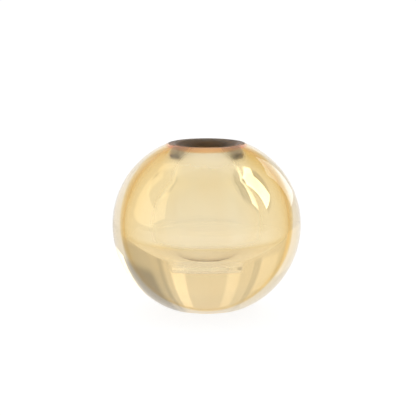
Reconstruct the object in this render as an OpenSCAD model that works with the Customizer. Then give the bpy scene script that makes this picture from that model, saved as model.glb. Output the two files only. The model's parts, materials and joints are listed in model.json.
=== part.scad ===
// Bud vase in cased glass: a thick clear body around a round amber skin, with a clear
// floor inside the skin and a rounded amber lip. The glasses are fused, so their faces meet.
// The ground base stands at z = 0 and the vase turns about the Z axis.

/* [Body] */
// Widest diameter of the clear body
body_d = 90; // [89:1:94]
// Height of the widest point above the base
belly_h = 39.6; // [39.4:0.1:40]
// Radius of the arc that the side follows below its widest point
side_arc = 43; // [42.8:0.1:43.2]
// Radius of the arc that the side follows above its widest point
top_arc = 41.8; // [41.6:0.1:42.2]
// Diameter of the flat ground base
base_d = 35.6; // [34:0.2:36]
// Height of the polished bevel around the base
bevel_h = 0.5; // [0.3:0.1:0.8]

/* [Mouth] */
// Diameter of the mouth bore
mouth_d = 25.4; // [25:0.1:25.6]
// Outer diameter of the amber lip, where it meets the clear body
lip_d = 36.8; // [36.4:0.2:37.2]
// Radius of the fire-polished rounding over the lip
lip_round = 4.3; // [4.1:0.1:4.5]
// Depth of the amber lip below its outer edge
lip_depth = 5.8; // [5.6:0.1:5.9]
// Rounding of the underside of the lip, inside the clear body
lip_under_round = 5; // [4.8:0.1:5.4]

/* [Amber skin] */
// Inner diameter of the round amber skin
skin_d = 52.4; // [52:0.1:52.6]
// Thickness of the skin at the height of the widest point
skin_t = 1.5; // [1.3:0.1:1.6]
// Thickness of the skin around the neck
neck_t = 1.5; // [1.4:0.1:1.6]
// Height of the centre of the skin's outer face above the centre of its inner face
skin_rise = 1; // [0.8:0.1:1.1]
// Radius of the flare from the neck into the cavity
neck_round = 18; // [17.6:0.1:18.2]

/* [Cavity floor] */
// Radius of the bowl that forms the bottom of the cavity
bowl_round = 41.8; // [40:0.2:44]
// Height of the bowl's deepest point above the base, before the well is cut
bowl_h = 25.7; // [25.5:0.1:26.2]
// Diameter of the flat well in the middle of the bowl
well_d = 23; // [21:0.5:25]
// Height of the well's floor above the base
well_h = 24.2; // [23.4:0.1:24.3]
// Rounding where the well's floor meets its wall
well_round = 1.2; // [0.6:0.1:1.2]
// Rounding of the well's rim
well_rim = 1.9; // [1.2:0.1:2.2]

/* [Hidden] */
// The largest turn of an arc from one point of an outline to the next, in degrees
arc_step = 3;
$fn = 180;

// The side of the body: two arcs that meet at the widest point
side_x = body_d / 2 - side_arc;
top_x = body_d / 2 - top_arc;
// Where the side begins above the bevel and where it ends at the lip
side_from = -asin((belly_h - bevel_h) / side_arc);
side_to = acos((lip_d / 2 - top_x) / top_arc);
lip_edge = [lip_d / 2, belly_h + top_arc * sin(side_to)];

// The rounding over the lip: tangent to the bore, and through lip_edge
bore_r = mouth_d / 2;
round_x = bore_r + lip_round;
round_z = lip_edge.y - sqrt(pow(lip_round, 2) - pow(lip_edge.x - round_x, 2));
round_from = atan2(lip_edge.y - round_z, lip_edge.x - round_x);

// The underside of the lip: an arc from the outside of the neck round to lip_edge
neck_r = bore_r + neck_t;
lip_foot = [neck_r, lip_edge.y - lip_depth];
span = norm(lip_edge - lip_foot);
span_turn = atan2(lip_edge.y - lip_foot.y, lip_edge.x - lip_foot.x);
span_rise = sqrt(pow(lip_under_round, 2) - pow(span / 2, 2));
under = (lip_edge + lip_foot) / 2 + span_rise * [-sin(span_turn), cos(span_turn)];
under_half = asin(span / 2 / lip_under_round);

// The skin: spheres of inner_r and outer_r, opened by a flared neck
inner_r = skin_d / 2;
outer_r = inner_r + skin_t;
flare_x = bore_r + neck_round;

// The bowl, where it meets the skin, and the rim of the well
bowl_z = bowl_h + bowl_round;
bowl_rise = bowl_z - belly_h;
edge_z = (pow(inner_r, 2) - pow(bowl_round, 2) + pow(bowl_z, 2) - pow(belly_h, 2)) / 2 / bowl_rise;
edge_x = sqrt(pow(inner_r, 2) - pow(edge_z - belly_h, 2));
bowl_to = atan2(edge_z - bowl_z, edge_x);
well_r = well_d / 2;
rim_x = well_r + well_rim;
rim_z = bowl_z - sqrt(pow(bowl_round + well_rim, 2) - pow(rim_x, 2));
rim_turn = atan2(bowl_z - rim_z, -rim_x);

// Points along an arc about [x, z], between two angles from the X axis
function arc(x, z, r, from, to) =
    let (steps = ceil(abs(to - from) / arc_step))
    [for (i = [0:steps]) let (a = from + (to - from) * i / steps) [x + r * cos(a), z + r * sin(a)]];

// A sphere of radius r about height h, from its lowest point up into a neck of radius neck
function flask(r, h, neck) =
    let (
        flare = flare_x - neck,
        rise = sqrt(pow(r + flare, 2) - pow(flare_x, 2)),
        turn = atan2(rise, flare_x)
    )
    concat(arc(0, h, r, -90, turn), arc(flare_x, h + rise, flare, 180 + turn, 180));

// The bottom of the cavity, from the middle of the well out to the edge of the bowl
function cavity_floor() = concat(
    [[0, well_h]],
    arc(well_r - well_round, well_h + well_round, well_round, -90, 0),
    arc(rim_x, rim_z, well_rim, 180, rim_turn),
    arc(0, bowl_z, bowl_round, rim_turn - 180, bowl_to)
);

// The joint between the lip and the clear body, from the neck out to the edge of the lip
function lip_underside() = arc(
    under.x, under.y, lip_under_round, span_turn - 90 - under_half, span_turn - 90 + under_half
);

function reversed(points) = [for (i = [len(points) - 1:-1:0]) points[i]];

module clear_casing() {
    color("white", 0.25)
        rotate_extrude()
            polygon(concat(
                [[0, 0], [base_d / 2, 0]],
                arc(side_x, belly_h, side_arc, side_from, 0),
                arc(top_x, belly_h, top_arc, 0, side_to),
                reversed(lip_underside()),
                reversed(flask(outer_r, belly_h + skin_rise, neck_r))
            ));
}

module amber_skin() {
    color("burlywood", 0.5)
        rotate_extrude()
            polygon(concat(
                flask(outer_r, belly_h + skin_rise, neck_r),
                [lip_foot, [bore_r, lip_foot.y]],
                reversed(flask(inner_r, belly_h, bore_r))
            ));
}

module clear_floor() {
    color("ivory", 0.4)
        rotate_extrude()
            polygon(concat(
                arc(0, belly_h, inner_r, -90, atan2(edge_z - belly_h, edge_x)),
                reversed(cavity_floor())
            ));
}

module amber_lip() {
    color("saddlebrown", 0.8)
        rotate_extrude()
            polygon(concat(
                [[bore_r, lip_foot.y]],
                lip_underside(),
                arc(round_x, round_z, lip_round, round_from, 180)
            ));
}

clear_casing();
amber_skin();
clear_floor();
amber_lip();
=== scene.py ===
"""Looks for the bud vase: a thick clear glass body around a round amber skin, with a dark amber lip."""
import json
import math

import bpy
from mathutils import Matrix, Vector


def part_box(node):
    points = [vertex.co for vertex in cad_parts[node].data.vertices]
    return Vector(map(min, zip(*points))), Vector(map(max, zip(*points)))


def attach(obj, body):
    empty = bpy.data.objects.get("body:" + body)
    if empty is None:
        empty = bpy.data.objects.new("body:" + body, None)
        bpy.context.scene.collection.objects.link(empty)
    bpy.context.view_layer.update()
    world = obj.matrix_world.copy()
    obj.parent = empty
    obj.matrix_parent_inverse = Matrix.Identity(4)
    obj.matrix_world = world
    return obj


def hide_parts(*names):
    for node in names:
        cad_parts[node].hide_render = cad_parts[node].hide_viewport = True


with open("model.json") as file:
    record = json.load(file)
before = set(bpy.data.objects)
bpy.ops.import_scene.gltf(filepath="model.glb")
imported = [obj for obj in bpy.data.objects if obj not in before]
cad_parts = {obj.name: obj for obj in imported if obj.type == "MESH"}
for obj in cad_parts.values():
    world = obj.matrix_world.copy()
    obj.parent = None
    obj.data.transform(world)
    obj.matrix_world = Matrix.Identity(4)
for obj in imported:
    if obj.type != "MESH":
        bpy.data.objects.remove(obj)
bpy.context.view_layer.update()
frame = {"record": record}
scene = bpy.context.scene
MM = 0.001

# ---------------------------------------------------------------- sizes, in metres
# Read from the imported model
casing_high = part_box("clear_casing")[1]
skin_low, skin_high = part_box("amber_skin")
lip_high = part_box("amber_lip")[1]
floor_low, floor_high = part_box("clear_floor")
mouth = next(m for m in frame["record"]["mounts"] if m["name"] == "mouth")
BODY_R = min(casing_high.x, casing_high.y)
BORE_R = mouth["dims"]["r_mm"] * MM
LIP_TOP = lip_high.z
FOOT_Z = skin_high.z
EDGE_X = min(floor_high.x, floor_high.y)
EDGE_Z = floor_high.z
SKIN_LOW = skin_low.z
FLOOR_LOW = floor_low.z

# The design's own sizes, which a box can't give
BELLY_H = 39.6 * MM
SIDE_ARC = 43 * MM
TOP_ARC = 41.8 * MM
BASE_R = 17.8 * MM
BEVEL_H = 0.5 * MM
LIP_ROUND = 4.3 * MM
LIP_UNDER_ROUND = 5 * MM
NECK_T = 1.5 * MM
NECK_ROUND = 18 * MM
SKIN_RISE = 1 * MM
BOWL_ROUND = 41.8 * MM
WELL_R = 11.5 * MM
WELL_H = 24.2 * MM
WELL_ROUND = 1.2 * MM
WELL_RIM = 1.9 * MM
# The bowl's edge is softened where it meets the round of the skin
EDGE_ROUND = 4 * MM

# The skin's and the lip's own faces stand this far inside the glass, so that no two faces coincide
INSET = 0.03 * MM
TURNS = 192
ARC_STEP = math.radians(2)
SHARP_FROM = math.radians(20)
# Outline points closer together than this are one point, and nearer to the axis than this are on it
SAME_POINT = 1e-7
ON_AXIS = 1e-9

INNER_R = BELLY_H - FLOOR_LOW
SKIN_R = BELLY_H + SKIN_RISE - SKIN_LOW
SIDE_X = BODY_R - SIDE_ARC
TOP_X = BODY_R - TOP_ARC
ROUND_X = BORE_R + LIP_ROUND
ROUND_Z = LIP_TOP - LIP_ROUND
FLARE_X = BORE_R + NECK_ROUND
BOWL_Z = EDGE_Z + math.sqrt(BOWL_ROUND**2 - EDGE_X**2)
RIM_X = WELL_R + WELL_RIM
RIM_Z = BOWL_Z - math.sqrt((BOWL_ROUND + WELL_RIM) ** 2 - RIM_X**2)


def meet(x1, z1, r1, x2, z2, r2):
    """The upper right point where two circles cross."""
    gap = Vector((x2 - x1, z2 - z1))
    along = (r1**2 - r2**2 + gap.length_squared) / (2 * gap.length)
    across = math.sqrt(r1**2 - along**2)
    unit = gap.normalized()
    points = [Vector((x1, z1)) + along * unit + side * across * Vector((-unit.y, unit.x)) for side in (-1, 1)]
    return max(points, key=lambda p: p.x + p.y)


LIP_EDGE = meet(TOP_X, BELLY_H, TOP_ARC, ROUND_X, ROUND_Z, LIP_ROUND)


def arc(x, z, r, start, end):
    """Points (radius, height) along an arc about (x, z), from one angle to another."""
    steps = max(2, math.ceil(abs(end - start) / ARC_STEP))
    angles = [start + (end - start) * i / steps for i in range(steps + 1)]
    return [(x + r * math.cos(a), z + r * math.sin(a)) for a in angles]


def side():
    """The outside of the body, from the middle of its base up to the edge of the lip."""
    start = -math.asin((BELLY_H - BEVEL_H) / SIDE_ARC)
    end = math.atan2(LIP_EDGE.y - BELLY_H, LIP_EDGE.x - TOP_X)
    lower = arc(SIDE_X, BELLY_H, SIDE_ARC, start, 0)
    upper = arc(TOP_X, BELLY_H, TOP_ARC, 0, end)
    return [(0, 0), (BASE_R, 0)] + lower + upper


def lip_top(inset):
    """Over the lip, from its outer edge to the top of the bore."""
    start = math.atan2(LIP_EDGE.y - ROUND_Z, LIP_EDGE.x - ROUND_X)
    return arc(ROUND_X, ROUND_Z, LIP_ROUND - inset, start, math.pi)


def flask(r, h, neck, start=-math.pi / 2):
    """A sphere of radius r about height h, from an angle on it up into a flared neck."""
    flare = FLARE_X - neck
    rise = math.sqrt((r + flare) ** 2 - FLARE_X**2)
    turn = math.atan2(rise, FLARE_X)
    return arc(0, h, r, start, turn) + arc(FLARE_X, h + rise, flare, math.pi + turn, math.pi)


def cavity():
    """The wall of the cavity: the well, the bowl and the round of the skin, up to the neck."""
    rim_turn = math.atan2(BOWL_Z - RIM_Z, -RIM_X)
    edge = meet(0, BOWL_Z, BOWL_ROUND - EDGE_ROUND, 0, BELLY_H, INNER_R - EDGE_ROUND)
    bowl_turn = math.atan2(edge.y - BOWL_Z, edge.x)
    skin_turn = math.atan2(edge.y - BELLY_H, edge.x)
    return (
        [(0, WELL_H)]
        + arc(WELL_R - WELL_ROUND, WELL_H + WELL_ROUND, WELL_ROUND, -math.pi / 2, 0)
        + arc(RIM_X, RIM_Z, WELL_RIM, math.pi, rim_turn)
        + arc(0, BOWL_Z, BOWL_ROUND, rim_turn - math.pi, bowl_turn)
        + arc(edge.x, edge.y, EDGE_ROUND, bowl_turn, skin_turn)
        + flask(INNER_R, BELLY_H, BORE_R, skin_turn)
    )


def lip_underside(inset):
    """The underside of the lip inside the clear body, from the neck out to the edge of the lip."""
    foot = Vector((BORE_R + NECK_T, FOOT_Z))
    span = LIP_EDGE - foot
    along = math.atan2(span.y, span.x)
    half = math.asin(span.length / 2 / LIP_UNDER_ROUND)
    rise = math.sqrt(LIP_UNDER_ROUND**2 - (span.length / 2) ** 2)
    middle = (LIP_EDGE + foot) / 2 + rise * Vector((-math.sin(along), math.cos(along)))
    down = along - math.pi / 2
    return arc(middle.x, middle.y, LIP_UNDER_ROUND - inset, down - half, down + half)


def turned(name, outline):
    """A closed smooth mesh: an outline of (radius, height) turned about Z. Radius 0 makes a pole."""
    points = [p for i, p in enumerate(outline) if i == 0 or math.dist(p, outline[i - 1]) > SAME_POINT]
    verts, rings = [], []
    for r, z in points:
        if r < ON_AXIS:
            rings.append([len(verts)])
            verts.append((0, 0, z))
        else:
            rings.append([len(verts) + k for k in range(TURNS)])
            for k in range(TURNS):
                a = 2 * math.pi * k / TURNS
                verts.append((r * math.cos(a), r * math.sin(a), z))
    pairs = list(zip(rings, rings[1:]))
    if len(rings[0]) > 1:
        pairs.append((rings[-1], rings[0]))
    faces = []
    for low, high in pairs:
        for k in range(TURNS):
            n = (k + 1) % TURNS
            if len(low) == 1:
                faces.append((low[0], high[n], high[k]))
            elif len(high) == 1:
                faces.append((low[k], low[n], high[0]))
            else:
                faces.append((low[k], low[n], high[n], high[k]))
    mesh = bpy.data.meshes.new(name)
    mesh.from_pydata(verts, [], faces)
    mesh.validate()
    mesh.shade_smooth()
    mesh.set_sharp_from_angle(angle=SHARP_FROM)
    piece = bpy.data.objects.new(name, mesh)
    scene.collection.objects.link(piece)
    return piece


# ---------------------------------------------------------------- materials
class Graph:
    """The nodes of a material or of the world, with short ways to add and join them."""

    def __init__(self, owner):
        owner.use_nodes = True
        self.nodes = owner.node_tree.nodes
        self.links = owner.node_tree.links
        self.shader = self.nodes.get("Principled BSDF")

    def add(self, kind, **settings):
        """A new node of a kind, with its settings."""
        node = self.nodes.new("ShaderNode" + kind)
        for name, value in settings.items():
            setattr(node, name, value)
        return node

    def put(self, socket, value):
        """Give an input a number or a colour, or join it to another node's output."""
        if isinstance(value, bpy.types.NodeSocket):
            self.links.new(value, socket)
        else:
            socket.default_value = value

    def place(self, kind="Object"):
        """The coordinates that a pattern follows: the object's own, unless another kind is named."""
        return self.add("TexCoord").outputs[kind]

    def stretched(self, x, y, z):
        """The object's own coordinates, each multiplied by a number."""
        node = self.add("VectorMath", operation="MULTIPLY")
        self.put(node.inputs[0], self.place())
        self.put(node.inputs[1], (x, y, z))
        return node.outputs["Vector"]

    def math(self, operation, *values):
        """Two values added, multiplied and so on."""
        node = self.add("Math", operation=operation)
        for socket, value in zip(node.inputs, values):
            self.put(socket, value)
        return node.outputs["Value"]

    def ramp(self, value, start, end, low, high, shape="LINEAR"):
        """low where value is start, high where it is end, and level beyond both."""
        node = self.add("MapRange", interpolation_type=shape)
        for socket, number in zip(("From Min", "From Max", "To Min", "To Max"), (start, end, low, high)):
            self.put(node.inputs[socket], number)
        self.put(node.inputs["Value"], value)
        return node.outputs["Result"]

    def noise(self, place, scale, detail, low, high):
        """A cloudy pattern between low and high. The larger the scale, the finer it is."""
        node = self.add("TexNoise")
        self.put(node.inputs["Vector"], place)
        self.put(node.inputs["Scale"], scale)
        self.put(node.inputs["Detail"], detail)
        return self.ramp(node.outputs["Fac"], 0.3, 0.7, low, high)

    def tint(self, value, first, second):
        """A colour between two others, into the shader's base colour."""
        node = self.add("Mix", data_type="RGBA")
        self.put(node.inputs["Factor"], value)
        self.put(node.inputs["A"], (*first, 1))
        self.put(node.inputs["B"], (*second, 1))
        self.put(self.shader.inputs["Base Color"], node.outputs["Result"])

    def bump(self, height, strength, distance):
        """A relief on the surface, into the shader's normal."""
        node = self.add("Bump")
        self.put(node.inputs["Height"], height)
        self.put(node.inputs["Strength"], strength)
        self.put(node.inputs["Distance"], distance)
        self.put(self.shader.inputs["Normal"], node.outputs["Normal"])


def glass(name, ior, absorb, density):
    """Coloured glass. absorb is the colour that survives, and density how fast the rest is lost."""
    mat = bpy.data.materials.new(name)
    graph = Graph(mat)
    graph.put(graph.shader.inputs["Base Color"], (1, 1, 1, 1))
    graph.put(graph.shader.inputs["Roughness"], 0.0)
    graph.put(graph.shader.inputs["IOR"], ior)
    graph.put(graph.shader.inputs["Transmission Weight"], 1.0)
    volume = graph.add("VolumeAbsorption")
    graph.put(volume.inputs["Color"], (*absorb, 1))
    graph.put(volume.inputs["Density"], density)
    graph.put(graph.nodes["Material Output"].inputs["Volume"], volume.outputs["Volume"])
    return mat


# The softer glass of the neck: how far it reaches from the axis, and the heights where it begins
# and where it is at its softest
NECK_REACH = 18 * MM
NECK_FROM = 58 * MM
NECK_FULL = 70 * MM


def worked_glass(mat):
    """The polished body: slow waves, a ground base with a fine grain, and a neck left softer by the tools."""
    graph = Graph(mat)
    place = graph.place()
    reach = graph.add("VectorMath", operation="LENGTH")
    graph.put(reach.inputs[0], graph.stretched(1, 1, 0))
    split = graph.add("SeparateXYZ")
    graph.put(split.inputs["Vector"], place)
    height = split.outputs["Z"]
    near_base = graph.ramp(height, 0.2 * MM, 0.1 * MM, 0, 1)
    base = graph.math("MULTIPLY", near_base, graph.noise(place, 900, 4, 0.1, 0.3))
    near_axis = graph.ramp(reach.outputs["Value"], NECK_REACH + 0.5 * MM, NECK_REACH, 0, 1)
    neck = graph.math("MULTIPLY", near_axis, graph.ramp(height, NECK_FROM, NECK_FULL, 0, 1))
    neck = graph.math("MULTIPLY", neck, graph.noise(place, 260, 3, 0.42, 0.58))
    graph.put(graph.shader.inputs["Roughness"], graph.math("ADD", base, neck))
    graph.bump(graph.noise(place, 40, 1, 0, 1), 0.3, 0.2 * MM)


def streaked_glass(mat, first, second):
    """Cords in coloured glass: faint streaks that run up the vase, as a change of tint."""
    graph = Graph(mat)
    graph.tint(graph.noise(graph.stretched(1, 1, 0.3), 90, 3, 0, 1), first, second)


clear_glass = glass("clear_glass", 1.5, (0.82, 0.66, 0.30), 15)
worked_glass(clear_glass)
amber_glass = glass("amber_glass", 1.0, (0.93, 0.77, 0.20), 115)
streaked_glass(amber_glass, (1, 1, 1), (0.99, 0.97, 0.93))
lip_glass = glass("deep_amber_glass", 1.0, (0.96, 0.64, 0.10), 220)
streaked_glass(lip_glass, (1, 1, 1), (0.97, 0.92, 0.84))

# ---------------------------------------------------------------- pieces
body = turned("glass_body", side() + lip_top(0)[1:] + cavity()[::-1])
skin = turned(
    "amber_skin_layer",
    flask(SKIN_R, BELLY_H + SKIN_RISE, BORE_R + NECK_T)
    + [(BORE_R + NECK_T, FOOT_Z - INSET), (BORE_R + INSET, FOOT_Z - INSET)]
    + flask(INNER_R + INSET, BELLY_H, BORE_R + INSET)[::-1],
)
lip = turned("amber_lip_ring", [(BORE_R + INSET, FOOT_Z)] + lip_underside(INSET) + lip_top(INSET))
for piece, mat, replaced, slot in (
    (body, clear_glass, ("clear_casing", "clear_floor"), "clear_glass"),
    (skin, amber_glass, ("amber_skin",), "amber_glass"),
    (lip, lip_glass, ("amber_lip",), "deep_amber_glass"),
):
    piece.data.materials.append(mat)
    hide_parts(*replaced)
    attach(piece, "root")

# ---------------------------------------------------------------- floor
# A lit sheet that ends not far behind the vase, just clear of the base
FLOOR_NEAR = -0.7
FLOOR_FAR = 0.170
FLOOR_WIDE = 0.8
FLOOR_DROP = 0.1 * MM
corners = [(x, y, 0) for x, y in (
    (-FLOOR_WIDE, FLOOR_NEAR), (FLOOR_WIDE, FLOOR_NEAR), (FLOOR_WIDE, FLOOR_FAR), (-FLOOR_WIDE, FLOOR_FAR)
)]
floor_mesh = bpy.data.meshes.new("floor")
floor_mesh.from_pydata(corners, [], [(0, 1, 2, 3)])
floor = bpy.data.objects.new("floor", floor_mesh)
floor.location.z = -FLOOR_DROP
scene.collection.objects.link(floor)
acrylic = bpy.data.materials.new("lit_acrylic")
frosting = Graph(acrylic)
frosting.tint(frosting.noise(frosting.place(), 700, 3, 0, 1), (0.235, 0.235, 0.235), (0.265, 0.265, 0.265))
frosting.bump(frosting.noise(frosting.place(), 1500, 2, 0, 1), 0.15, 0.05 * MM)
frosting.put(frosting.shader.inputs["Roughness"], 0.9)
frosting.put(frosting.shader.inputs["Emission Color"], (1, 1, 1, 1))
frosting.put(frosting.shader.inputs["Emission Strength"], 0.86)
floor.data.materials.append(acrylic)


# ---------------------------------------------------------------- light
def area_light(name, place, target, size, power, colour):
    """A soft rectangular lamp that shows in the glass and not to the camera."""
    data = bpy.data.lights.new(name, "AREA")
    data.shape = "RECTANGLE"
    data.size, data.size_y = size
    data.energy = power
    data.color = colour
    lamp = bpy.data.objects.new(name, data)
    lamp.location = place
    lamp.rotation_euler = (Vector(target) - Vector(place)).to_track_quat("-Z", "Y").to_euler()
    lamp.visible_camera = False
    scene.collection.objects.link(lamp)


# Name, place, the point that it faces, size, watts and colour
for card in (
    ("card_right", (0.110, 0.080, 0.100), (0.038, -0.005, 0.055), (0.06, 0.09), 0.029, (0.88, 0.94, 1.0)),
    ("card_left", (-0.120, 0.060, 0.050), (-0.038, -0.005, 0.045), (0.16, 0.05), 0.0045, (1.0, 0.97, 0.93)),
):
    area_light(*card)

world = bpy.data.worlds.new("studio")
sky = Graph(world)
direction = sky.add("SeparateXYZ")
sky.put(direction.inputs["Vector"], sky.place("Generated"))
azimuth = sky.math("ARCTAN2", direction.outputs["X"], direction.outputs["Y"])
elevation = sky.math("ARCSINE", direction.outputs["Z"])


def window(angle, low, high, soft):
    """1 where an angle is between two others, in degrees, and 0 outside them, with soft edges."""
    edges = [
        sky.ramp(angle, math.radians(at + outwards), math.radians(at), 0, 1, "SMOOTHSTEP")
        for at, outwards in ((low, -soft), (high, soft))
    ]
    return sky.math("MULTIPLY", *edges)


# The studio is white all round. Each row makes one part of it brighter or darker, in degrees of
# azimuth from +Y towards +X and of elevation: from, to and softness of each, and then the change.
ROOM = 1.05
level = ROOM
for az_low, az_high, az_soft, el_low, el_high, el_soft, change in (
    (30, 55, 6, 18, 60, 8, -0.32),
    (21, 50, 3, 4, 60, 6, -0.30),
    (17, 21, 2, 6, 60, 6, -0.10),
    (-38, -27, 2, 8, 27, 3, 0.15),
    (-25, -22, 1, 8, 60, 3, -0.15),
    (10, 15, 1.5, 12, 40, 3, 0.35),
    (-14, -10, 2, 12, 40, 3, 0.20),
    (115, 181, 25, -91, 91, 1, -0.75),
    (-181, -115, 25, -91, 91, 1, -0.75),
):
    across = window(azimuth, az_low, az_high, az_soft)
    upright = window(elevation, el_low, el_high, el_soft)
    patch = sky.math("MULTIPLY", across, upright)
    level = sky.math("ADD", level, sky.math("MULTIPLY", patch, change))

# The camera itself sees an even white, and everything else sees the room
room = sky.nodes["Background"]
backdrop = sky.add("Background")
for background, strength in ((room, level), (backdrop, ROOM)):
    sky.put(background.inputs["Color"], (1, 1, 1, 1))
    sky.put(background.inputs["Strength"], strength)
either = sky.add("MixShader")
sky.put(either.inputs["Fac"], sky.add("LightPath").outputs["Is Camera Ray"])
sky.put(either.inputs[1], room.outputs["Background"])
sky.put(either.inputs[2], backdrop.outputs["Background"])
sky.put(sky.nodes["World Output"].inputs["Surface"], either.outputs["Shader"])
scene.world = world

# ---------------------------------------------------------------- camera
CAMERA_AWAY = 0.75
CAMERA_UP = math.radians(10.5)
centre = Vector((0, 0, BELLY_H))
cam_data = bpy.data.cameras.new("camera")
cam_data.sensor_width = 36
cam_data.lens = 135.9
cam_data.shift_x = 0.0034
cam_data.shift_y = 0.0392
cam_data.clip_start = 0.01
cam_data.clip_end = 50
camera = bpy.data.objects.new("camera", cam_data)
back = Vector((0, -math.cos(CAMERA_UP), math.sin(CAMERA_UP)))
camera.location = centre + back * CAMERA_AWAY
camera.rotation_euler = (-back).to_track_quat("-Z", "Y").to_euler()
scene.collection.objects.link(camera)
scene.camera = camera

scene.view_settings.view_transform = "Standard"
scene.view_settings.look = "None"
# Light is reflected many times inside the thick glass before it comes out
scene.cycles.max_bounces = 64
scene.cycles.transmission_bounces = 64
scene.cycles.transparent_max_bounces = 16
